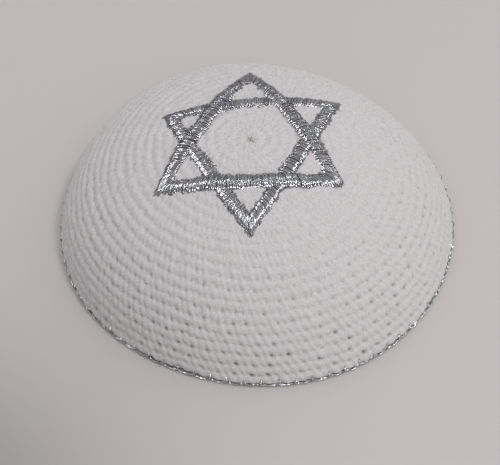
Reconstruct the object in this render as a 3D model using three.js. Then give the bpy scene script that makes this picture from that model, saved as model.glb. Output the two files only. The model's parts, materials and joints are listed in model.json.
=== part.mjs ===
// A crocheted skullcap lying dome up on a table.
// The crown is worked in rounds of white cotton, from the middle of its top down to the rim.
// A round of silver thread edges the rim, and a six-pointed star is embroidered on top in silver:
// two triangles in satin stitch, one sewn over the other.
// Millimetres, +Z up. The rim rests on z = 0 and the star's top point lies towards +Y.
import * as THREE from "three";

const { degToRad, lerp, smoothstep } = THREE.MathUtils;

// Crown: driving dimensions
const RIM_RADIUS = 82.5; // outside of the cap where it meets the table
const RIM_SLOPE = degToRad(74.7); // steepness of the wall at the rim, from level
const CURL = 1.46; // how late the wall turns down: 1 is part of a sphere, more is a flatter top
const WALL = 3; // thickness of the crocheted cloth
const ROUNDS = 24; // rounds of cotton from the middle of the top to the rim
const GROOVE_DEPTH = 0.7; // how far the cloth dips between two rounds
const INNER_STEPS = 12; // facets from the middle of the hollow to its rim
const SECTORS = 64; // facets once round the cap

// Slack of the cloth: how far the cap lies from a true turned shape
const LEAN = 3.1; // how far the top has slumped towards -X
const LEAN_RISE = 31; // height over which most of that slump happens
const RIM_LOBES = [
  { lobes: 2, swell: 0.58, towards: degToRad(-36.7) },
  { lobes: 3, swell: 0.39, towards: degToRad(5.3) },
  { lobes: 4, swell: 0.64, towards: degToRad(24.4) },
];

// Silver edge
const EDGE_HEIGHT = 1.5;
const EDGE_WIDTH = 2.4;
const EDGE_FOOT = 1.4; // width of the flat that rests on the table
const EDGE_INSET = 0.2; // how far the edge sits inside the rim radius
const EDGE_SHOULDER = 0.4; // share of its height at which it is widest
const EDGE_STEPS = 6; // facets over its rounded top

// Star: reach is measured along the cloth from the middle of the top, and towards turns from +X
const STAR_TIPS = [
  { triangle: "over", tip: "top", reach: 45.5, towards: degToRad(91.3) },
  { triangle: "over", tip: "low_left", reach: 42.6, towards: degToRad(213.5) },
  { triangle: "over", tip: "low_right", reach: 40.9, towards: degToRad(331.7) },
  { triangle: "under", tip: "high_left", reach: 38.7, towards: degToRad(155.8) },
  { triangle: "under", tip: "bottom", reach: 43.8, towards: degToRad(270.4) },
  { triangle: "under", tip: "high_right", reach: 45.5, towards: degToRad(36.3) },
];
const BAND_WIDTH = 6; // satin stitch, from edge to edge
const BAND_CREST = 1; // its height along the middle
const BAND_LIP = 0.3; // its height at both edges
const BAND_STEPS = 4; // facets across its rounded top
const SIDE_STEPS = 36; // facets along one side of a triangle
const BAND_BOW = 2.2; // how far the middle of a side lies outside the straight line between its corners
const RAMP = 3; // length over which the upper triangle climbs onto the lower one
const RAMP_MARGIN = 3; // how far before the lower band the climb is over

const GAP = 0.3; // clearance between neighbouring pieces

// Materials
const COTTON = new THREE.MeshStandardMaterial({ color: 0xe6e3e4, roughness: 0.95, metalness: 0 });
const SILVER_THREAD = new THREE.MeshStandardMaterial({ color: 0xa3a4a9, roughness: 0.35, metalness: 0.9 });

// The meridian: the wall's slope grows with the distance along the cloth from the top, and the arc from
// the top to the table is as long as it takes for the wall to reach the rim radius.
function integrate(f, end, steps = 160) {
  const step = end / steps;
  let sum = 0;
  for (let i = 0; i < steps; i++) sum += f((i + 0.5) * step) * step;
  return sum;
}
const ARC = RIM_RADIUS / integrate((share) => Math.cos(RIM_SLOPE * share ** CURL), 1);
const slopeAt = (arc) => RIM_SLOPE * (arc / ARC) ** CURL;
const radiusAt = (arc) => integrate((a) => Math.cos(slopeAt(a)), arc);
const dropAt = (arc) => integrate((a) => Math.sin(slopeAt(a)), arc);
const HEIGHT = dropAt(ARC);
const CROWN_ARC = ARC - (EDGE_HEIGHT + GAP) / Math.sin(RIM_SLOPE); // the cotton stops above the silver edge

// A point of the meridian, as (radius, height), raised from the outer face of the cloth by lift.
function meridian(arc, lift) {
  const slope = slopeAt(arc);
  return new THREE.Vector2(
    Math.max(0, radiusAt(arc) + lift * Math.sin(slope)),
    HEIGHT - dropAt(arc) + lift * Math.cos(slope),
  );
}

// Moves a point of the true turned shape to where the slack cloth has settled.
function settle(point) {
  const azimuth = Math.atan2(point.y, point.x);
  const share = Math.hypot(point.x, point.y) / RIM_RADIUS;
  let swell = 0;
  for (const { lobes, swell: most, towards } of RIM_LOBES)
    swell += (most / RIM_RADIUS) * share ** 2 * Math.cos(lobes * (azimuth - towards));
  const slump = (height) => 1 - Math.exp(-height / LEAN_RISE);
  point.x = point.x * (1 + swell) - (LEAN * slump(point.z)) / slump(HEIGHT);
  point.y = point.y * (1 + swell);
  return point;
}

function settled(geometry) {
  const place = geometry.getAttribute("position");
  const point = new THREE.Vector3();
  for (let i = 0; i < place.count; i++) {
    settle(point.fromBufferAttribute(place, i));
    place.setXYZ(i, point.x, point.y, point.z);
  }
  geometry.computeVertexNormals();
  return geometry;
}

// Turns a profile of (radius, height) points round +Z and lets the result settle.
function turned(profile) {
  return settled(new THREE.LatheGeometry(profile, SECTORS).rotateX(Math.PI / 2));
}

// Crown: down the outer face crest by crest, across the rim, and back up the smooth inner face.
function crownGeometry() {
  const round = CROWN_ARC / ROUNDS;
  const profile = [meridian(0, 0)];
  for (let i = 0; i < ROUNDS; i++) {
    profile.push(meridian((i + 0.5) * round, 0));
    profile.push(meridian((i + 1) * round, i + 1 < ROUNDS ? -GROOVE_DEPTH : 0));
  }
  const innerArc = CROWN_ARC - WALL / Math.tan(slopeAt(CROWN_ARC)); // level with the outer face's end
  for (let i = INNER_STEPS; i >= 0; i--) profile.push(meridian((i / INNER_STEPS) * innerArc, -WALL));
  return turned(profile.reverse());
}

// Silver edge: a flat foot with a rounded top, closed on itself.
function edgeGeometry() {
  const middle = RIM_RADIUS - EDGE_INSET - EDGE_WIDTH / 2;
  const profile = [new THREE.Vector2(middle - EDGE_FOOT / 2, 0), new THREE.Vector2(middle + EDGE_FOOT / 2, 0)];
  for (let i = 0; i <= EDGE_STEPS; i++) {
    const angle = (i / EDGE_STEPS) * Math.PI;
    const rise = EDGE_HEIGHT * lerp(EDGE_SHOULDER, 1, Math.sin(angle));
    profile.push(new THREE.Vector2(middle + (EDGE_WIDTH / 2) * Math.cos(angle), rise));
  }
  profile.push(profile[0].clone());
  return turned(profile);
}

// A closed skin over closed sections that follow each other in a loop.
function loopSkin(sections) {
  const around = sections[0].length;
  const index = [];
  sections.forEach((_, i) => {
    for (let j = 0; j < around; j++) {
      const a = i * around + j;
      const b = i * around + ((j + 1) % around);
      const c = ((i + 1) % sections.length) * around + ((j + 1) % around);
      const d = ((i + 1) % sections.length) * around + j;
      index.push(a, c, b, a, d, c);
    }
  });
  const geometry = new THREE.BufferGeometry().setFromPoints(sections.flat());
  geometry.setIndex(index);
  geometry.computeVertexNormals();
  return geometry;
}

// Star: flat on the opened-out cloth, a triangle is its three tips and the same triangle drawn in by a width.
function starTriangle(name) {
  const tips = STAR_TIPS.filter(({ triangle }) => triangle === name).map(
    ({ reach, towards }) => new THREE.Vector2(Math.cos(towards), Math.sin(towards)).multiplyScalar(reach),
  );
  const sides = tips.map((tip, i) => tip.distanceTo(tips[(i + 1) % 3]));
  const perimeter = sides[0] + sides[1] + sides[2];
  const area = Math.abs(tips[1].clone().sub(tips[0]).cross(tips[2].clone().sub(tips[0]))) / 2;
  const inradius = (2 * area) / perimeter;
  const incentre = new THREE.Vector2();
  tips.forEach((tip, i) => incentre.addScaledVector(tip, sides[(i + 1) % 3] / perimeter));
  const drawnIn = (width) => tips.map((tip) => incentre.clone().lerp(tip, (inradius - width) / inradius));
  return { outer: tips, middle: drawnIn(BAND_WIDTH / 2), inner: drawnIn(BAND_WIDTH) };
}

// How far along side a-b the sides of another triangle cross it, in millimetres from a.
function crossings(a, b, other) {
  const along = b.clone().sub(a);
  return other.flatMap((c, i) => {
    const across = other[(i + 1) % 3].clone().sub(c);
    const between = c.clone().sub(a);
    const turn = along.cross(across);
    const share = between.cross(across) / turn;
    const otherShare = between.cross(along) / turn;
    const crosses = share > 0 && share < 1 && otherShare > 0 && otherShare < 1;
    return crosses ? [share * along.length()] : [];
  });
}

// A band of satin stitch round one triangle. Where it crosses the triangle named under, it climbs over it.
function bandGeometry(name, under) {
  const { outer, middle, inner } = starTriangle(name);
  const passed = under ? starTriangle(under).middle : [];
  const slant = Math.PI / 3; // the angle at which two sides of the star cross
  const footprint = (BAND_WIDTH / 2) * (1 / Math.sin(slant) + 1 / Math.tan(slant)) + RAMP_MARGIN;
  const climb = BAND_CREST + GAP;
  const place = (flat, lift) => {
    const point = meridian(flat.length(), lift);
    const azimuth = flat.angle();
    return settle(new THREE.Vector3(point.x * Math.cos(azimuth), point.x * Math.sin(azimuth), point.y));
  };
  const sections = [];
  for (let side = 0; side < 3; side++) {
    const next = (side + 1) % 3;
    const length = middle[side].distanceTo(middle[next]);
    const crossed = crossings(middle[side], middle[next], passed);
    const along = middle[next].clone().sub(middle[side]).normalize();
    const outward = new THREE.Vector2(along.y, -along.x); // the tips follow each other anticlockwise
    for (let i = 0; i < SIDE_STEPS; i++) {
      const share = i / SIDE_STEPS;
      const bow = 4 * BAND_BOW * share * (1 - share);
      const from = outer[side].clone().lerp(outer[next], share).addScaledVector(outward, bow);
      const to = inner[side].clone().lerp(inner[next], share).addScaledVector(outward, bow);
      const nearest = Math.min(Infinity, ...crossed.map((at) => Math.abs(at - share * length)));
      const lift = GAP + climb * (1 - smoothstep(nearest, footprint, footprint + RAMP));
      const section = [place(to, lift), place(from.clone().lerp(to, 0.5), lift), place(from, lift)];
      for (let j = 0; j <= BAND_STEPS; j++) {
        const across = j / BAND_STEPS;
        const crest = lerp(BAND_LIP, BAND_CREST, Math.sin(across * Math.PI));
        section.push(place(from.clone().lerp(to, across), lift + crest));
      }
      sections.push(section);
    }
  }
  return loopSkin(sections);
}

function piece(name, geometry, material) {
  const mesh = new THREE.Mesh(geometry, material);
  mesh.name = name;
  return mesh;
}

const cap = new THREE.Group();
cap.name = "skullcap";
cap.add(
  piece("crown", crownGeometry(), COTTON),
  piece("silver_edge", edgeGeometry(), SILVER_THREAD),
  piece("star_triangle_under", bandGeometry("under"), SILVER_THREAD),
  piece("star_triangle_over", bandGeometry("over", "under"), SILVER_THREAD),
);

// The slumped side hangs a little past the rim, so the whole cap is centred over the origin.
const middle = new THREE.Box3().setFromObject(cap).getCenter(new THREE.Vector3());
cap.position.set(-middle.x, -middle.y, 0);

export default cap;
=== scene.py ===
# %% [markdown]
# # A crocheted skullcap with a silver star
# The cap is white cotton yarn, crocheted in rounds from the middle of the top down to the rim. A round of
# silver thread edges the rim, and a six-pointed star is embroidered on the top in satin stitch. The packed
# solids give the size and the place of everything. This lesson dresses them. It works the same dome out
# again as a curve, and raises the stitches of the outside from it as one relief. The bars of the inside,
# the threads of the star and the stitches of the edge are drawn once each and laid many times. Stitch and
# thread sizes are millimetres, and `on_cap` turns them into the frame's metres. The lights and the shade
# are placed in metres.

# %% Load the frame
import json
import math

import bpy
import numpy as np
from mathutils import Matrix, Vector

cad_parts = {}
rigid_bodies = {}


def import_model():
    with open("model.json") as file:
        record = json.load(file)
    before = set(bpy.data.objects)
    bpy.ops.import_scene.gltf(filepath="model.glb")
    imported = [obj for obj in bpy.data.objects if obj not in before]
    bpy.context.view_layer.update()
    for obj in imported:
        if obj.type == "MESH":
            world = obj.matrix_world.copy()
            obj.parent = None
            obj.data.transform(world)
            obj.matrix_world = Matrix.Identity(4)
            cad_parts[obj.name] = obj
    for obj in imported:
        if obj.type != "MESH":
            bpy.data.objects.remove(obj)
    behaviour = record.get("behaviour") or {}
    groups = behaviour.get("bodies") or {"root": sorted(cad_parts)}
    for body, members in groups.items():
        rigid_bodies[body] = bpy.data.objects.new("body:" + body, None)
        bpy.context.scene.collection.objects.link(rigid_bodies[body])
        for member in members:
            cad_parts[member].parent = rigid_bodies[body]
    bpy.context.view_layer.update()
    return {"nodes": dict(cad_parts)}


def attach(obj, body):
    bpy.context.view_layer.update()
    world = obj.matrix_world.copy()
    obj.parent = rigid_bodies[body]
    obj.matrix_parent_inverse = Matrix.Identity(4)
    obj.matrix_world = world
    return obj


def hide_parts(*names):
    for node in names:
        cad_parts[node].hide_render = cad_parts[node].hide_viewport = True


bpy.ops.object.select_all(action="SELECT")
bpy.ops.object.delete()
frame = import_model()
MM = 0.001
print("solids in the frame:", len(frame["nodes"]))

# %% [markdown]
# ## The curve of the dome
# A crocheted cap is not part of a ball. Its top is worked flat and the wall turns down ever faster towards
# the rim, so the slope grows with a power of the distance along the cloth. Adding up small steps along that
# slope gives the radius and the height of each point. The cloth is slack too: the top has slumped to one
# side, and the rim is not quite round. The same numbers are in the solids, so the two fit each other.

# %% Dome: sizes, and a table of radius and drop along the cloth
RIM_RADIUS = 82.5
RIM_SLOPE = math.radians(74.7)
CURL = 1.46
LEAN = 3.1
LEAN_RISE = 31
RIM_LOBES = [
    {"lobes": 2, "swell": 0.58, "towards": math.radians(-36.7)},
    {"lobes": 3, "swell": 0.39, "towards": math.radians(5.3)},
    {"lobes": 4, "swell": 0.64, "towards": math.radians(24.4)},
]

steps = np.linspace(0, 1, 1001)
slope_along = RIM_SLOPE * steps**CURL


def added_up(values):
    """The running sum of a value along the cloth, from the top, for an arc of length 1."""
    return np.concatenate([[0], np.cumsum((values[1:] + values[:-1]) / 2)]) * steps[1]


ARC = RIM_RADIUS / added_up(np.cos(slope_along))[-1]
radius_along = added_up(np.cos(slope_along)) * ARC
drop_along = added_up(np.sin(slope_along)) * ARC
HEIGHT = drop_along[-1]
print(f"from the top to the table: {ARC:.1f} mm along the cloth, {HEIGHT:.1f} mm down")

# %% Dome: from a place on the cloth to a point of the frame


def settle(x, y, z):
    """Where the slack cloth has carried a point of the true turned shape."""
    azimuth = np.arctan2(y, x)
    share = np.hypot(x, y) / RIM_RADIUS
    swell = 0
    for lobe in RIM_LOBES:
        swell = swell + lobe["swell"] * np.cos(lobe["lobes"] * (azimuth - lobe["towards"]))
    grow = 1 + swell / RIM_RADIUS * share**2
    slump = (1 - np.exp(-z / LEAN_RISE)) / (1 - math.exp(-HEIGHT / LEAN_RISE))
    return np.stack([x * grow - LEAN * slump, y * grow, z], axis=-1)


round_once = np.linspace(0, 2 * math.pi, 721)
outline = settle(RIM_RADIUS * np.cos(round_once), RIM_RADIUS * np.sin(round_once), 0 * round_once)
RIM_CENTRE = -(outline.min(axis=0) + outline.max(axis=0)) / 2


def meridian(arc, lift):
    """Radius and height of the turned shape, so far along the cloth and so far above its outer face."""
    slope = RIM_SLOPE * (arc / ARC) ** CURL
    radius = np.interp(arc, steps * ARC, radius_along) + lift * np.sin(slope)
    height = HEIGHT - np.interp(arc, steps * ARC, drop_along) + lift * np.cos(slope)
    return radius, height


def on_cap(arc, azimuth, lift):
    """Points of the frame, in metres, at a place on the cloth and so far above its outer face."""
    radius, height = meridian(arc, lift)
    return (settle(radius * np.cos(azimuth), radius * np.sin(azimuth), height) + RIM_CENTRE) * MM


print("centre of the rim in the frame:", RIM_CENTRE.round(2), "mm")

# %% [markdown]
# ## The camera
# The view looks down at the cap from the front. The height, the distance and the lens come from fitting the
# rim's ellipse, the outline of the dome and the points of the star to their places in the picture.

# %% Camera
PICTURE = (500, 465)
FOCAL_PIXELS = 1006
SENSOR = 36
ELEVATION = math.radians(50.56)
DISTANCE = 425.4
ROLL = math.radians(0.75)
RIM_CENTRE_PIXEL = (257.1, 216.9)

bpy.ops.object.camera_add()
camera = bpy.context.object
camera.data.sensor_width = SENSOR
camera.data.lens = FOCAL_PIXELS / PICTURE[0] * SENSOR
back = Vector((0, -math.cos(ELEVATION), math.sin(ELEVATION)))
pan = math.atan2(RIM_CENTRE_PIXEL[0] - PICTURE[0] / 2, FOCAL_PIXELS)
tilt = math.atan2(PICTURE[1] / 2 - RIM_CENTRE_PIXEL[1], FOCAL_PIXELS)
facing = (-back).to_track_quat("-Z", "Y").to_matrix()
turned = Matrix.Rotation(pan, 3, "Y") @ Matrix.Rotation(-tilt, 3, "X") @ Matrix.Rotation(ROLL, 3, "Z")
camera.rotation_euler = (facing @ turned).to_euler()
camera.location = (Vector(RIM_CENTRE) + back * DISTANCE) * MM
bpy.context.scene.camera = camera
print("camera at", [round(x, 3) for x in camera.location], "lens", round(camera.data.lens, 1), "mm")

# %% [markdown]
# ## Colours and nodes
# Colours are written as sRGB hex values, as a picture shows them, and one function turns them to the linear
# values that Blender mixes. Another adds a node, sets it up and links it.

# %% Helpers for materials


def linear(hex_colour):
    """An sRGB hex colour as linear red, green, blue and alpha."""
    shares = [int(hex_colour[i : i + 2], 16) / 255 for i in (1, 3, 5)]
    return [s / 12.92 if s <= 0.04045 else ((s + 0.055) / 1.055) ** 2.4 for s in shares] + [1]


def add_node(material, kind, inputs=None, **settings):
    """Adds a node with its settings. An input is a value, or the socket that it is linked to."""
    node = material.node_tree.nodes.new(kind)
    for name, value in settings.items():
        setattr(node, name, value)
    for name, value in (inputs or {}).items():
        if isinstance(value, bpy.types.NodeSocket):
            material.node_tree.links.new(value, node.inputs[name])
        else:
            node.inputs[name].default_value = value
    return node


def new_material(name):
    """A new material, and its shader."""
    material = bpy.data.materials.new(name)
    material.use_nodes = True
    return material, material.node_tree.nodes["Principled BSDF"]


# %% [markdown]
# ## The table and the light
# The cap lies on a plain pale table. Most of the light is the room itself, brightest overhead and to the
# right. One small lamp on the right, the window, gives the stitches their shadows. Metal thread shows
# lamps as bright points, and cotton doesn't, so four more lamps are set to light only what mirrors them. A
# dark card with a soft edge floats over the table at the low left, hidden from the camera. It keeps some
# of the light from that side of the cap, which is the darkest in the picture.

# %% Table
bpy.ops.mesh.primitive_plane_add(size=6)
table = bpy.context.object
table.name = "table"
matt_table, shader = new_material("matt pale laminate")
shader.inputs["Base Color"].default_value = linear("#cecac8")
shader.inputs["Roughness"].default_value = 0.7
table.data.materials.append(matt_table)
print("made", table.name, "of", matt_table.name)

# %% Lights
LIGHTS = [
    {"name": "window", "at": (0.5, -0.2, 1.12), "size": 0.2, "watts": 2.8, "for_cotton": True},
    {"name": "glint from the right", "at": (0.92, 0.3, 0.76), "size": 0.2, "watts": 3, "for_cotton": False},
    {"name": "glint from the left", "at": (-0.88, 0.33, 0.82), "size": 0.25, "watts": 3, "for_cotton": False},
    {"name": "glint from the front", "at": (0.1, -1.0, 0.8), "size": 0.25, "watts": 4.5, "for_cotton": False},
    {"name": "glint on a corner", "at": (-0.56, 0.37, 0.98), "size": 0.15, "watts": 2, "for_cotton": False},
]
for light in LIGHTS:
    bpy.ops.object.light_add(type="AREA", location=light["at"])
    lamp = bpy.context.object
    lamp.name = light["name"]
    lamp.data.size = light["size"]
    lamp.data.energy = light["watts"]
    lamp.data.color = linear("#fffefc")[:3]
    lamp.rotation_euler = (-Vector(light["at"])).to_track_quat("-Z", "Y").to_euler()
    lamp.visible_diffuse = light["for_cotton"]
print(len(LIGHTS), "lamps")

# %% Shade
SHADE_AT = (-0.122, -0.162, 0.065)
SHADE_REACH = 0.125
SHADE_CORE = 0.04
SHADE_DEPTH = 0.75
bpy.ops.mesh.primitive_plane_add(size=2 * SHADE_REACH, location=SHADE_AT)
shade = bpy.context.object
shade.name = "shade"
dark_card, shader = new_material("dark card with a soft edge")
place = add_node(dark_card, "ShaderNodeTexCoord")
distance = add_node(dark_card, "ShaderNodeVectorMath", {0: place.outputs["Object"]}, operation="LENGTH")
opacity = add_node(
    dark_card,
    "ShaderNodeMapRange",
    {
        "Value": distance.outputs["Value"],
        "From Min": SHADE_REACH,
        "From Max": SHADE_CORE,
        "To Max": SHADE_DEPTH,
    },
    interpolation_type="SMOOTHSTEP",
)
dark_card.node_tree.links.new(opacity.outputs["Result"], shader.inputs["Alpha"])
shader.inputs["Base Color"].default_value = linear("#3a3836")
shade.data.materials.append(dark_card)
shade.visible_camera = False
print("made", shade.name, "at", SHADE_AT)

# %% Room light
BRIGHT_SIDE = Vector((0.5, -0.04, 0.865))
ROOM_DIM, ROOM_BRIGHT = 0.4, 0.83
DIM_FROM = -0.6
room = bpy.data.worlds.new("soft room light")
room.use_nodes = True
sky = room.node_tree.nodes["Background"]
direction = add_node(room, "ShaderNodeTexCoord")
facing_light = add_node(
    room,
    "ShaderNodeVectorMath",
    {0: direction.outputs["Generated"], 1: BRIGHT_SIDE},
    operation="DOT_PRODUCT",
)
brightness = add_node(
    room,
    "ShaderNodeMapRange",
    {
        "Value": facing_light.outputs["Value"],
        "From Min": DIM_FROM,
        "From Max": 1,
        "To Min": ROOM_DIM,
        "To Max": ROOM_BRIGHT,
    },
)
room.node_tree.links.new(brightness.outputs["Result"], sky.inputs["Strength"])
sky.inputs["Color"].default_value = linear("#f6f4f6")
bpy.context.scene.world = room
bpy.context.scene.view_settings.view_transform = "Standard"
print("room light from", ROOM_DIM, "to", ROOM_BRIGHT)

# %% [markdown]
# ## Cotton yarn
# Soft white cotton yarn is spun from short fibres and plied: several strands twist round each other. It is
# matt, with a faint sheen at grazing angles from loose fibres. Fibres are finer than the picture can show,
# so they are drawn as tufts of 0.7 mm, which roughen the surface and mottle its colour a little. The twist
# follows the yarn, so it reads the yarn's own UV map, where U runs along a strand and V round it. It shows
# on the drawn strands of the inside. The relief of the outside has no single strand to follow, so its map
# is left flat and only the tufts show there. A tone is kept with each point of a mesh. On the outside it
# is painted shade: darker deep in the cloth, where little light comes.

# %% Cotton material
PLIES = 3
TWISTS = 1.3
WAVE_PERIOD = 2 * math.pi / 10
FIBRE = 0.7
LOOSENESS = 5
RELIEF = 0.075
THIN_TUFT, THICK_TUFT = 0.3, 0.7
DULL, BRIGHT = 0.86, 1.1


def cotton(name, light_hex, dark_hex):
    """Matt plied cotton, between two tones that each point of a mesh mixes in its own way."""
    material, shader = new_material(name)
    uv = add_node(material, "ShaderNodeUVMap", uv_map="yarn")
    place = add_node(material, "ShaderNodeTexCoord")
    tone = add_node(material, "ShaderNodeAttribute", attribute_name="tone")
    twist = add_node(
        material,
        "ShaderNodeMapping",
        {"Vector": uv.outputs["UV"], "Scale": (TWISTS * WAVE_PERIOD, PLIES * WAVE_PERIOD, 0)},
    )
    plies = add_node(
        material,
        "ShaderNodeTexWave",
        {"Vector": twist.outputs["Vector"], "Scale": 1, "Distortion": 0},
        bands_direction="DIAGONAL",
    )
    fibres = add_node(
        material,
        "ShaderNodeTexNoise",
        {"Vector": place.outputs["Object"], "Scale": 1 / (FIBRE * MM), "Detail": 3, "Roughness": 0.6},
    )
    relief = add_node(
        material,
        "ShaderNodeMath",
        {0: fibres.outputs["Fac"], 1: LOOSENESS, 2: plies.outputs["Fac"]},
        operation="MULTIPLY_ADD",
    )
    bump = add_node(
        material,
        "ShaderNodeBump",
        {"Height": relief.outputs["Value"], "Strength": 1, "Distance": RELIEF * MM},
    )
    # On the outside of the cap the dark tone is painted shade, deep in the cloth.
    tones = add_node(
        material,
        "ShaderNodeMix",
        {"Factor": tone.outputs["Fac"], "A": linear(dark_hex), "B": linear(light_hex)},
        data_type="RGBA",
    )
    mottle = add_node(
        material,
        "ShaderNodeMapRange",
        {
            "Value": fibres.outputs["Fac"],
            "From Min": THIN_TUFT,
            "From Max": THICK_TUFT,
            "To Min": DULL,
            "To Max": BRIGHT,
        },
    )
    mottled = add_node(
        material,
        "ShaderNodeVectorMath",
        {0: tones.outputs["Result"], 1: mottle.outputs["Result"]},
        operation="MULTIPLY",
    )
    material.node_tree.links.new(mottled.outputs["Vector"], shader.inputs["Base Color"])
    material.node_tree.links.new(bump.outputs["Normal"], shader.inputs["Normal"])
    shader.inputs["Roughness"].default_value = 0.9
    shader.inputs["IOR"].default_value = 1.45
    shader.inputs["Sheen Weight"].default_value = 0.15
    return material


# The dark tone is painted shade, deep in the cloth on the outside. The inside takes only a little of it.
white_cotton = cotton("white cotton yarn", "#dcd9d9", "#8f8b89")
print("made", white_cotton.name)

# %% [markdown]
# ## One strand of yarn, and many
# A strand is modelled once: a path is drawn through a few points, a round bevel gives it its thickness,
# and the result is turned into a closed mesh. A stitch is one or a few such strands. Laying a stitch
# hundreds of times is then a matter of arrays: each vertex is carried from its place in the stitch to its
# place on the dome, and all copies become one mesh.

# %% Draw a strand


def strand(path, thickness, sides=6):
    """A closed tube through the points of a path, in mm, as arrays of vertices, faces and UV corners."""
    bpy.ops.object.select_all(action="DESELECT")
    bpy.ops.curve.primitive_nurbs_path_add()
    drawn = bpy.context.object
    drawn.data.splines.clear()
    line = drawn.data.splines.new("POLY")
    line.points.add(len(path) - 1)
    for point, place, diameter in zip(line.points, path, thickness):
        point.co = (*place, 1)
        point.radius = diameter / 2
    drawn.data.bevel_depth = 1
    drawn.data.bevel_resolution = (sides - 4) // 2
    drawn.data.use_fill_caps = True
    bpy.ops.object.convert(target="MESH")
    bpy.ops.object.mode_set(mode="EDIT")
    bpy.ops.mesh.select_all(action="SELECT")
    bpy.ops.mesh.remove_doubles(threshold=1e-4)
    bpy.ops.mesh.normals_make_consistent(inside=False)
    bpy.ops.object.mode_set(mode="OBJECT")
    mesh = bpy.context.object.data
    vertices = np.array([v.co for v in mesh.vertices])
    faces = [list(p.vertices) for p in mesh.polygons]
    corners = np.array([corner.uv for corner in mesh.uv_layers[0].data])
    bpy.ops.object.delete()
    return vertices, faces, corners


def joined(*strands):
    """Several strands as one stitch."""
    vertices, faces, corners = [], [], []
    for some_vertices, some_faces, some_corners in strands:
        start = sum(len(v) for v in vertices)
        vertices.append(some_vertices)
        faces += [[start + i for i in face] for face in some_faces]
        corners.append(some_corners)
    return np.concatenate(vertices), faces, np.concatenate(corners)


# %% Lay a strand or stitch many times


def lay(name, stitch, points, tones, material):
    """One mesh of many copies of a stitch. points has a row of placed vertices for each copy."""
    vertices, faces, corners = stitch
    count = len(points)
    starts = np.arange(count) * len(vertices)
    loops = np.concatenate([np.array(face) for face in faces])
    sizes = np.array([len(face) for face in faces])
    mesh = bpy.data.meshes.new(name)
    mesh.vertices.add(count * len(vertices))
    mesh.vertices.foreach_set("co", np.asarray(points, np.float32).ravel())
    mesh.loops.add(count * len(loops))
    mesh.loops.foreach_set("vertex_index", (starts[:, None] + loops[None]).astype(np.int32).ravel())
    mesh.polygons.add(count * len(faces))
    firsts = np.concatenate([[0], np.cumsum(np.tile(sizes, count))[:-1]])
    mesh.polygons.foreach_set("loop_start", firsts.astype(np.int32))
    mesh.update(calc_edges=True)
    mesh.validate()
    uv = mesh.uv_layers.new(name="yarn")
    uv.data.foreach_set("uv", np.tile(corners, (count, 1)).astype(np.float32).ravel())
    tone = mesh.attributes.new("tone", "FLOAT", "POINT")
    tone.data.foreach_set("value", np.repeat(tones, len(vertices)).astype(np.float32))
    mesh.shade_smooth()
    mesh.materials.append(material)
    piece = bpy.data.objects.new(name, mesh)
    bpy.context.collection.objects.link(piece)
    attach(piece, "root")
    print(f"{name}: {count} copies, {sum(len(p.vertices) - 2 for p in mesh.polygons)} triangles")
    return piece


# %% [markdown]
# ## The rounds
# Work starts with six stitches round a small hole. Each round adds six more until there are enough to go
# round the head, and then the count stays, so the stitches near the rim are pulled wider. While the rounds
# grow, each starts anywhere. Where the count stays, each starts about a fifth of a stitch before the one
# above it, which makes the columns lean.

# %% Lay out the rounds
ROUNDS = 24
FIRST_STITCHES = 6
MOST_STITCHES = 80
START_HOLE = 1.6
EDGE_HEIGHT = 1.8
COLUMN_LEAN = -0.19
CROWN_ARC = ARC - EDGE_HEIGHT / math.sin(RIM_SLOPE)
ROUND_HEIGHT = (CROWN_ARC - START_HOLE) / ROUNDS
draw = np.random.default_rng(18)

numbers = np.arange(1, ROUNDS + 1)
counts = np.minimum(FIRST_STITCHES * numbers, MOST_STITCHES)
angles = 2 * math.pi / counts
starts = START_HOLE + (numbers - 1) * ROUND_HEIGHT
growing = counts < MOST_STITCHES
turns = np.cumsum(COLUMN_LEAN * angles) + np.where(growing, draw.uniform(0, 1, ROUNDS) * angles, 0)
rows = []
for number, count, angle, start, turn in zip(numbers, counts, angles, starts, turns):
    rows += [(number, start, turn + k * angle, angle) for k in range(count)]
stitches = np.array(rows)
print(len(stitches), "stitches in", ROUNDS, "rounds,", round(ROUND_HEIGHT, 2), "mm each")

# %% [markdown]
# A drawn stitch is flat at first. By hand no two stitches are alike, so each copy gets a small seeded shift
# before the dome curves it. It shifts much less up and down than along the cloth.

# %% Place the vertices of a stitch
STITCH_WIDTH = 5.5
LIFT_SHARE = 0.15
LEAST_ARC = 0.1


def worked(stitch, places, wander=0.2):
    """Carries a stitch, modelled flat for a width of STITCH_WIDTH, to each of its places on the dome."""
    x, y, z = stitch[0].T
    _, arc, azimuth, angle = (column[:, None] for column in places.T)
    shift_x, shift_y, shift_z = draw.normal(0, wander, (3, len(places), 1))
    across = (x + shift_x) / STITCH_WIDTH
    arcs = np.maximum(arc + y + shift_y, LEAST_ARC)
    return on_cap(arcs, azimuth + across * angle, z + shift_z * LIFT_SHARE)


# %% [markdown]
# ## One single crochet stitch
# From the right side a single crochet shows two full legs side by side, which lean the same way. They
# press against each other along the middle of the round, so a round reads as one soft ridge. At both ends
# they narrow and dive into the cloth, which makes the grooves. The bulk of the yarn behind them closes
# most of what they leave open. Where the hook went in, a groove has a small dark hole. Half a stitch
# further on there is a second, shallow one, with a loop of the round before inside it. Cotton is hairy,
# and its loose fibres fill the creases between the strands. So the outside is not laid from loose tubes:
# each strand only says how high the cloth is near it, and a soft maximum blends the strands.

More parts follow.
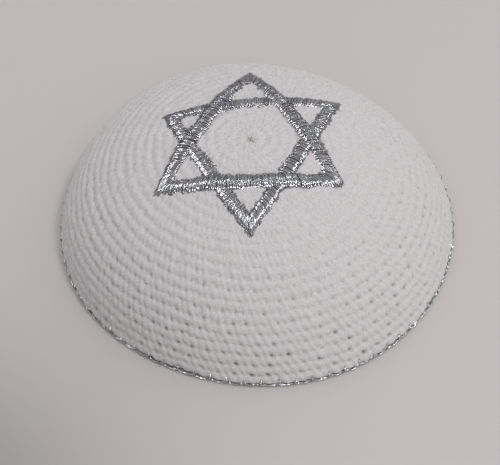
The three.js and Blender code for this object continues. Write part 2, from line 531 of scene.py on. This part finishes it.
# %% Strands of one stitch: place, height of the top, and half the width
LEADING_LEG = [
    {"x": -2.0, "y": -0.7, "top": -0.58, "half": 1.4},
    {"x": -1.6, "y": 0.6, "top": -0.3, "half": 1.6},
    {"x": -0.9, "y": 1.9, "top": 0.0, "half": 1.7},
    {"x": -0.1, "y": 3.0, "top": -0.02, "half": 1.6},
    {"x": 0.3, "y": 3.9, "top": -0.3, "half": 1.5},
    {"x": 0.4, "y": 4.9, "top": -0.62, "half": 1.2},
]
TRAILING_LEG = [
    {"x": 1.15, "y": -0.7, "top": -0.62, "half": 1.2},
    {"x": 1.3, "y": 0.5, "top": -0.3, "half": 1.4},
    {"x": 1.8, "y": 1.7, "top": 0.0, "half": 1.6},
    {"x": 2.3, "y": 2.8, "top": 0.02, "half": 1.7},
    {"x": 2.7, "y": 3.7, "top": -0.25, "half": 1.6},
    {"x": 2.85, "y": 4.9, "top": -0.62, "half": 1.3},
]
BULK = [
    {"x": -1.9, "y": 1.8, "top": -0.3, "half": 1.6},
    {"x": -0.7, "y": 2.0, "top": -0.3, "half": 1.6},
    {"x": 0.5, "y": 2.35, "top": -0.3, "half": 1.6},
    {"x": 1.8, "y": 2.3, "top": -0.3, "half": 1.6},
    {"x": 3.6, "y": 1.8, "top": -0.3, "half": 1.6},
]
HOLES = [
    {"x": 0.0, "y": 0.1, "deep": 1.8, "half": 0.64},
    {"x": 2.5, "y": 0.2, "deep": 0.45, "half": 0.8},
]
ROUNDNESS = 0.46
FLOOR = -2.2


def strand_height(table, x, y):
    """How high the cloth is where a strand passes."""
    height = np.full(x.shape, FLOOR)
    for a, b in zip(table, table[1:]):
        run_x, run_y = b["x"] - a["x"], b["y"] - a["y"]
        share = ((x - a["x"]) * run_x + (y - a["y"]) * run_y) / (run_x**2 + run_y**2)
        share = np.clip(share, 0, 1)
        away = np.hypot(x - a["x"] - share * run_x, y - a["y"] - share * run_y)
        half = a["half"] + share * (b["half"] - a["half"])
        top = a["top"] + share * (b["top"] - a["top"])
        height = np.maximum(height, top - ROUNDNESS * away**2 / half)
    return height


# %% [markdown]
# ## The height of the cloth
# Any place on the cap lies among the stitches of its own round and of the two next to it, so these are
# asked for their height there. Each stitch is shifted, lifted and pulled open by its own seeded chance,
# and a round waves a little up and down. Near the top the work is tight: the bulk fills it, and the holes
# are almost closed. Towards the rim the stitches are pulled wide and open.

# %% Height of the cloth anywhere on the cap
BLEND = 0.08
FILLING = 0.27
OPEN_FROM = 40
TIGHT = 0.1
STITCH_SHIFT = 0.22
STRAND_LIFT = 0.13
LEAST_OPEN = 0.15
WAVES = (3, 5, 8)
WAVE_HEIGHT = 0.15
shift_x, shift_y = draw.normal(0, STITCH_SHIFT, (2, ROUNDS, MOST_STITCHES))
lift_by = draw.normal(0, STRAND_LIFT, (3, ROUNDS, MOST_STITCHES))
open_by = draw.uniform(LEAST_OPEN, 1, (ROUNDS, MOST_STITCHES))
phases = draw.uniform(0, 2 * math.pi, (ROUNDS, len(WAVES)))


def cloth(arc, azimuth):
    """Height of the outside at each place."""
    total = np.full(arc.shape, math.exp(FLOOR / BLEND))
    hollow = np.zeros(arc.shape)
    row = np.floor((arc - START_HOLE) / ROUND_HEIGHT).astype(int)
    pulled_open = np.clip((arc - OPEN_FROM) / (CROWN_ARC - OPEN_FROM), TIGHT, 1)
    for number in (row - 1, row, row + 1):
        inside_cap = (number >= 0) & (number < ROUNDS)
        number = np.clip(number, 0, ROUNDS - 1)
        place = (azimuth - turns[number]) / angles[number]
        wave = sum(WAVE_HEIGHT * np.sin(w * azimuth + phases[number, i]) for i, w in enumerate(WAVES))
        for neighbour in (-1, 0, 1):
            k = np.rint(place).astype(int) + neighbour
            own = (number, k % counts[number])
            x = (place - k) * STITCH_WIDTH - shift_x[own]
            y = arc - starts[number] - shift_y[own] - wave
            for hole in HOLES:
                away = np.hypot(x - hole["x"], y - hole["y"]) / hole["half"]
                dip = hole["deep"] * open_by[own] * pulled_open * np.exp(-(away**2))
                hollow = np.maximum(hollow, np.where(inside_cap, dip, 0))
            for table, lift, filling in zip((LEADING_LEG, TRAILING_LEG, BULK), lift_by, (0, 0, FILLING)):
                height = strand_height(table, x, y) + lift[own] + filling * (1 - pulled_open)
                total += np.exp(np.where(inside_cap, height, FLOOR) / BLEND)
    return BLEND * np.log(total) - hollow


# %% [markdown]
# ## The outside
# A grid is bent into a thin flat ring, as on the opened-out cloth. Each point of its upper side gets the
# height of the cloth there, and the ring is curved onto the dome. The lower rounds are longer, so they
# need more columns than the upper ones, and the crown is made in three rings. They overlap a little, and
# beyond its own rounds each ring is tucked in under its neighbour.

# %% Crocheted rings
CLOTH_INNER = -2.5
ROUND_STEPS = 10
# Painted shade: the heights of the outside at which its colour is fully darkened, and at which it is not
# darkened.
PAINTED_SHADE_DEEP, PAINTED_SHADE_SHALLOW = -2.0, -0.8
INSIDE_TONE = 0.8
OVERLAP = 3
TUCK = 0.12
CREASE = math.radians(80)
RINGS = [
    {"name": "crown_upper_rounds", "first": 0, "last": 10, "columns": 480},
    {"name": "crown_middle_rounds", "first": 10, "last": 17, "columns": 720},
    {"name": "crown_lower_rounds", "first": 17, "last": 24, "columns": 960},
]


def ring_profile(start, end, first, last):
    """Places along the cloth, down the outside of a ring and back up its inside, with a lift for each."""
    from_arc = start - OVERLAP if first else 0
    to_arc = end + OVERLAP if last < ROUNDS else end
    steps_down = int((to_arc - from_arc) / ROUND_HEIGHT * ROUND_STEPS)
    outer = [(arc, 0) for arc in np.linspace(from_arc, to_arc, steps_down)]
    inner = [(arc, CLOTH_INNER) for arc in np.linspace(to_arc, from_arc, last - first + 1)]
    return np.array(outer + inner + outer[:1])


def crocheted(name, first, last, columns):
    """A closed ring of cloth from one round to another, with its stitches raised on the outside."""
    start, end = START_HOLE + first * ROUND_HEIGHT, START_HOLE + last * ROUND_HEIGHT
    profile = ring_profile(start, end, first, last)
    bpy.ops.object.select_all(action="DESELECT")
    bpy.ops.mesh.primitive_grid_add(x_subdivisions=columns, y_subdivisions=len(profile) - 1, size=2)
    ring = bpy.context.object
    ring.name = name
    x, y = np.array([v.co.xy for v in ring.data.vertices]).T
    azimuth = math.pi * x
    arc, lift = profile[np.rint((1 - y) / 2 * (len(profile) - 1)).astype(int)].T
    height = cloth(arc, azimuth)
    outside = lift > CLOTH_INNER / 2
    beyond = np.maximum(arc - end, start - arc if first else 0)
    tucked = TUCK * np.maximum(beyond, 0)
    lift = np.where(outside, height - tucked, lift + tucked)
    # Painted shade: the outside's tone darkens with depth in the cloth, and the inside keeps one tone.
    tone = np.where(outside, np.clip((height - PAINTED_SHADE_DEEP) / (PAINTED_SHADE_SHALLOW - PAINTED_SHADE_DEEP), 0, 1), INSIDE_TONE)
    ring.data.vertices.foreach_set("co", on_cap(arc, azimuth, lift).astype(np.float32).ravel())
    ring.data.attributes.new("tone", "FLOAT", "POINT").data.foreach_set("value", tone.astype(np.float32))
    flat_map = ring.data.uv_layers[0]
    flat_map.name = "yarn"
    flat_map.data.foreach_set("uv", np.zeros(2 * len(ring.data.loops), np.float32))
    bpy.ops.object.mode_set(mode="EDIT")
    bpy.ops.mesh.select_all(action="SELECT")
    bpy.ops.mesh.remove_doubles(threshold=0.001 * MM)
    bpy.ops.mesh.normals_make_consistent(inside=False)
    bpy.ops.object.mode_set(mode="OBJECT")
    bpy.ops.object.shade_smooth_by_angle(angle=CREASE)
    ring.data.materials.append(white_cotton)
    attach(ring, "root")
    print(f"{name}: {sum(len(p.vertices) - 2 for p in ring.data.polygons)} triangles")
    return ring


rings = [crocheted(**ring) for ring in RINGS]
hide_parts("crown")

# %% [markdown]
# ## The inside
# On the wrong side each stitch shows one short bar across, a little proud of the cloth.

# %% Inside bars
INNER_BAR = [
    {"x": -2.6, "y": 1.6, "z": -2.3, "thick": 1.5},
    {"x": -1.0, "y": 2.3, "z": -2.95, "thick": 2.0},
    {"x": 1.0, "y": 2.1, "z": -2.95, "thick": 2.0},
    {"x": 2.6, "y": 1.6, "z": -2.3, "thick": 1.5},
]
BAR_TONE, BAR_TONE_SPREAD = 0.8, 0.15


def drawn(table):
    """A strand from a table of its points."""
    return strand([(row["x"], row["y"], row["z"]) for row in table], [row["thick"] for row in table])


wrong_side = drawn(INNER_BAR)
tones = np.clip(draw.normal(BAR_TONE, BAR_TONE_SPREAD, len(stitches)), 0, 1)
inside = lay("crown_inside_bars", wrong_side, worked(wrong_side, stitches), tones, white_cotton)

# %% [markdown]
# ## Silver thread
# The thread is a thin metallised film wound round a core. It mirrors the room in narrow facets, so most of
# it looks grey and single points flash. A cell pattern gives each facet, about a third of a millimetre
# across, its own small tilt, and the tone differs from thread to thread. There are two threads. The star's
# lies smooth and its facets hardly tilt. The edge's is paler, and crimped by the hook, so its facets tilt
# every way.

# %% Silver material
FACET = 0.35
FACET_TILT = 0.08
CRIMPED_TILT = 1.1


def silver(name, light_hex, dark_hex, facet_tilt):
    """Metallised film thread between two tones, each facet of which is tilted its own way."""
    material, shader = new_material(name)
    place = add_node(material, "ShaderNodeTexCoord")
    surface = add_node(material, "ShaderNodeNewGeometry")
    tone = add_node(material, "ShaderNodeAttribute", attribute_name="tone")
    facets = add_node(
        material, "ShaderNodeTexVoronoi", {"Vector": place.outputs["Object"], "Scale": 1 / (FACET * MM)}
    )
    centred = add_node(
        material,
        "ShaderNodeVectorMath",
        {0: facets.outputs["Color"], 1: (0.5, 0.5, 0.5)},
        operation="SUBTRACT",
    )
    tilted = add_node(
        material,
        "ShaderNodeVectorMath",
        {0: centred.outputs["Vector"], 1: (facet_tilt,) * 3, 2: surface.outputs["Normal"]},
        operation="MULTIPLY_ADD",
    )
    normal = add_node(
        material, "ShaderNodeVectorMath", {0: tilted.outputs["Vector"]}, operation="NORMALIZE"
    )
    tones = add_node(
        material,
        "ShaderNodeMix",
        {"Factor": tone.outputs["Fac"], "A": linear(dark_hex), "B": linear(light_hex)},
        data_type="RGBA",
    )
    material.node_tree.links.new(tones.outputs["Result"], shader.inputs["Base Color"])
    material.node_tree.links.new(normal.outputs["Vector"], shader.inputs["Normal"])
    shader.inputs["Metallic"].default_value = 1
    shader.inputs["Roughness"].default_value = 0.12
    return material


silver_thread = silver("metallised silver thread", "#b4b6ba", "#7d7e83", FACET_TILT)
crimped_thread = silver("crimped silver thread", "#cfd1d5", "#94959a", CRIMPED_TILT)
print("made", silver_thread.name, "and", crimped_thread.name)

# %% [markdown]
# ## The star
# The star is two triangles, and the one that points away from us was sewn last, so it passes over the
# other at all six crossings. A place in the star is flat first, as on the opened-out cloth, and the dome
# then curves it. The tips are those of the solids, apart from the low left one, whose threads reach about
# a millimetre further. A bar bows outwards in the middle, as in the solids, and narrows towards its
# corners.

# %% Star: corners and bars
BAND_WIDTH = 5.9
CORNER_WIDTH = 4.7
STAR_TIPS = [
    {"triangle": "over", "tip": "top", "reach": 45.5, "towards": 91.3},
    {"triangle": "over", "tip": "low_left", "reach": 43.7, "towards": 213.5},
    {"triangle": "over", "tip": "low_right", "reach": 40.9, "towards": 331.7},
    {"triangle": "under", "tip": "high_left", "reach": 38.7, "towards": 155.8},
    {"triangle": "under", "tip": "bottom", "reach": 43.8, "towards": 270.4},
    {"triangle": "under", "tip": "high_right", "reach": 45.5, "towards": 36.3},
]


def corners_of(triangle, drawn_in=0.0):
    """The three corners of a triangle, flat, or of the same triangle drawn in by a width."""
    rows = [row for row in STAR_TIPS if row["triangle"] == triangle]
    towards = np.radians([row["towards"] for row in rows])
    tips = np.stack([np.cos(towards), np.sin(towards)], axis=1) * np.array([[row["reach"]] for row in rows])
    sides = np.linalg.norm(np.roll(tips, -1, axis=0) - tips, axis=1)
    incentre = (tips * np.roll(sides, -1)[:, None]).sum(axis=0) / sides.sum()
    a, b = tips[1] - tips[0], tips[2] - tips[0]
    inradius = abs(a[0] * b[1] - a[1] * b[0]) / sides.sum()
    return incentre + (tips - incentre) * (1 - drawn_in / inradius)


def crossings(start, end, other):
    """How far along a bar, from 0 to 1, the bars of another triangle cross it."""
    found = []
    for c, d in zip(other, np.roll(other, -1, axis=0)):
        shares = np.linalg.solve(np.stack([end - start, c - d], axis=1), c - start)
        if (shares > 0).all() and (shares < 1).all():
            found.append(shares[0])
    return found


# %% [markdown]
# ## Satin stitch
# A triangle is filled with threads laid side by side across its bars, from a little past the outer edge to
# the inner edge. On a bar they run straight across, and they fan out towards the corners. Each thread is
# drawn as a tube and pressed flat as film. It arches over the bar, dives into the cloth at both ends, and
# is rolled a little its own way, so that single threads flash.

# %% Star: one thread
THREAD = 0.72
THREAD_END = 0.6
THREAD_STEPS = 8
FILM = 0.2

thread_shares = [i / THREAD_STEPS for i in range(THREAD_STEPS + 1)]
thread_path = [((1 - math.cos(math.pi * share)) / 2, 0, 0) for share in thread_shares]
thickness = [THREAD * (THREAD_END if share in (0, 1) else 1) for share in thread_shares]
satin_thread = strand(thread_path, thickness)
satin_thread[0][:, 2] *= FILM
print("one thread has", len(satin_thread[1]), "faces")

# %% Star: where a bar's threads start and end, flat
THREAD_SPACING = 0.58
SPACING_WANDER = 0.25
EDGE_OUT = 0.6
BLUNT = 0.2
FAN = 0.55
END_WANDER = 0.35
BAND_BOW = 2.2
INNER_BOW = BAND_BOW - BAND_WIDTH + CORNER_WIDTH


def thread_ends(start, end, inner_start, inner_end):
    """For the threads of one bar: the share of the bar at which each lies, and its outer and inner end."""
    length = np.linalg.norm(end - start)
    direction = (end - start) / length
    outward = np.array([direction[1], -direction[0]])
    count = int(length / THREAD_SPACING)
    share = (np.arange(count) + 0.5 + draw.normal(0, SPACING_WANDER, count)) / count
    share = share[(share > BLUNT / length) & (share < 1 - BLUNT / length)]
    first, last = (inner_start - start) @ direction, (inner_end - start) @ direction
    straight = np.clip((share * length - first) / (last - first), 0, 1)
    fanned = share + (straight - share) * FAN + draw.normal(0, END_WANDER, len(share)) / length
    bow = np.outer(4 * share * (1 - share), outward)
    from_edge = start + np.outer(share, end - start) + BAND_BOW * bow
    to_edge = inner_start + np.outer(fanned, inner_end - inner_start) + INNER_BOW * bow
    return share, from_edge, to_edge, direction


# %% Star: where a bar climbs over another
CROSSING_HALF = 5.5
CROSSING_RAMP = 4.5


def climb_over(share, start, end, passed):
    """How far each thread of a bar is up on the bars that it crosses, from 0 to 1."""
    over = 0 * share
    for crossing in crossings(start, end, passed):
        away = np.abs(share - crossing) * np.linalg.norm(end - start)
        ramp = np.clip((CROSSING_HALF + CROSSING_RAMP - away) / CROSSING_RAMP, 0, 1)
        over = np.maximum(over, ramp * ramp * (3 - 2 * ramp))
    return over


# %% Star: satin stitch
CREST = 0.75
DIVE = 0.5
CLIMB = 0.7
ARCH_POWER = 3
THREAD_ROLL = 0.09
OVERSHOOT = 0.05
THREAD_LIFT = 0.04
THREAD_TONE, THREAD_TONE_SPREAD = 0.5, 0.28


def satin(name, triangle, under=None):
    """Threads side by side across the three bars of a triangle."""
    outer, inner = corners_of(triangle, -EDGE_OUT), corners_of(triangle, CORNER_WIDTH)
    middle = corners_of(triangle, BAND_WIDTH / 2)
    passed = corners_of(under, BAND_WIDTH / 2) if under else np.empty((0, 2))
    x, y, z = satin_thread[0].T
    arch = 1 - np.abs(2 * x - 1) ** ARCH_POWER
    points = []
    for side in range(3):
        share, from_edge, to_edge, direction = thread_ends(
            outer[side], outer[side - 2], inner[side], inner[side - 2]
        )
        count = len(share)
        over = climb_over(share, middle[side], middle[side - 2], passed)
        ends = draw.normal(0, OVERSHOOT, (2, count, 1))
        across = x * (1 + ends[0] + ends[1]) - ends[0]
        flat = from_edge[:, None] + across[..., None] * (to_edge - from_edge)[:, None]
        roll = draw.normal(0, THREAD_ROLL, (count, 1))
        flat = flat + (y * np.cos(roll) - z * np.sin(roll))[..., None] * direction
        lift = (CLIMB * over)[:, None] - DIVE + arch * (DIVE + CREST)
        lift = lift + draw.normal(0, THREAD_LIFT, (count, 1))
        lift = lift + y * np.sin(roll) + z * np.cos(roll)
        flat_x, flat_y = flat[..., 0], flat[..., 1]
        points.append(on_cap(np.hypot(flat_x, flat_y), np.arctan2(flat_y, flat_x), lift))
    points = np.concatenate(points)
    tones = np.clip(draw.normal(THREAD_TONE, THREAD_TONE_SPREAD, len(points)), 0, 1)
    threads = lay(name, satin_thread, points, tones, silver_thread)
    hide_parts("star_triangle_" + triangle)
    return threads


satin("star_under_satin", "under")
satin("star_over_satin", "over", under="under")

# %% [markdown]
# ## The silver edge
# One round of silver thread is worked into the last round of cotton. From outside, each stitch shows a
# short run of doubled thread along the rim and a tick that goes up into the cotton. A like tick shows
# inside.

# %% Silver edge: one stitch
EDGE_THREAD = 0.5
EDGE_STEPS = 8
EDGE_TWIST = 0.24
EDGE_SCALLOP = 0.45
EDGE_LIFT = -0.9
TICK_PATH = [
    {"x": -2.75, "y": 0.3, "z": -0.6, "thick": 0.6},
    {"x": -2.7, "y": -0.5, "z": 0.1, "thick": 0.7},
    {"x": -2.5, "y": -1.6, "z": 0.35, "thick": 0.7},
    {"x": -2.3, "y": -2.8, "z": -0.3, "thick": 0.5},
]
INNER_TICK_PATH = [
    {"x": -2.75, "y": 0.3, "z": -2.2, "thick": 0.6},
    {"x": -2.75, "y": -0.9, "z": -3.3, "thick": 0.7},
    {"x": -2.7, "y": -2.2, "z": -3.4, "thick": 0.7},
    {"x": -2.65, "y": -3.2, "z": -2.8, "thick": 0.5},
]


def edge_run(phase):
    """One of the two threads that twist round each other along one stitch of the rim."""
    path = []
    for i in range(EDGE_STEPS + 1):
        share = i / EDGE_STEPS
        angle = 2 * math.pi * share + phase
        scallop = EDGE_SCALLOP * math.sin(math.pi * share)
        down = scallop + EDGE_TWIST * math.sin(angle)
        lift = scallop + EDGE_LIFT + EDGE_TWIST * math.cos(angle)
        path.append(((share - 0.5) * STITCH_WIDTH, down, lift))
    return strand(path, [EDGE_THREAD] * len(path))


edge_stitch = joined(edge_run(0), edge_run(math.pi), drawn(TICK_PATH), drawn(INNER_TICK_PATH))
print("one stitch of the edge has", len(edge_stitch[1]), "faces")

# %% Silver edge: all the way round
EDGE_ARC = CROWN_ARC + 0.55
EDGE_WANDER = 0.06
EDGE_TONE, EDGE_TONE_SPREAD = 0.9, 0.2
edge_places = stitches[stitches[:, 0] == ROUNDS].copy()
edge_places[:, 1] = EDGE_ARC
tones = np.clip(draw.normal(EDGE_TONE, EDGE_TONE_SPREAD, len(edge_places)), 0, 1)
edge_points = worked(edge_stitch, edge_places, EDGE_WANDER)
edge = lay("silver_edge_thread", edge_stitch, edge_points, tones, crimped_thread)
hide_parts("silver_edge")
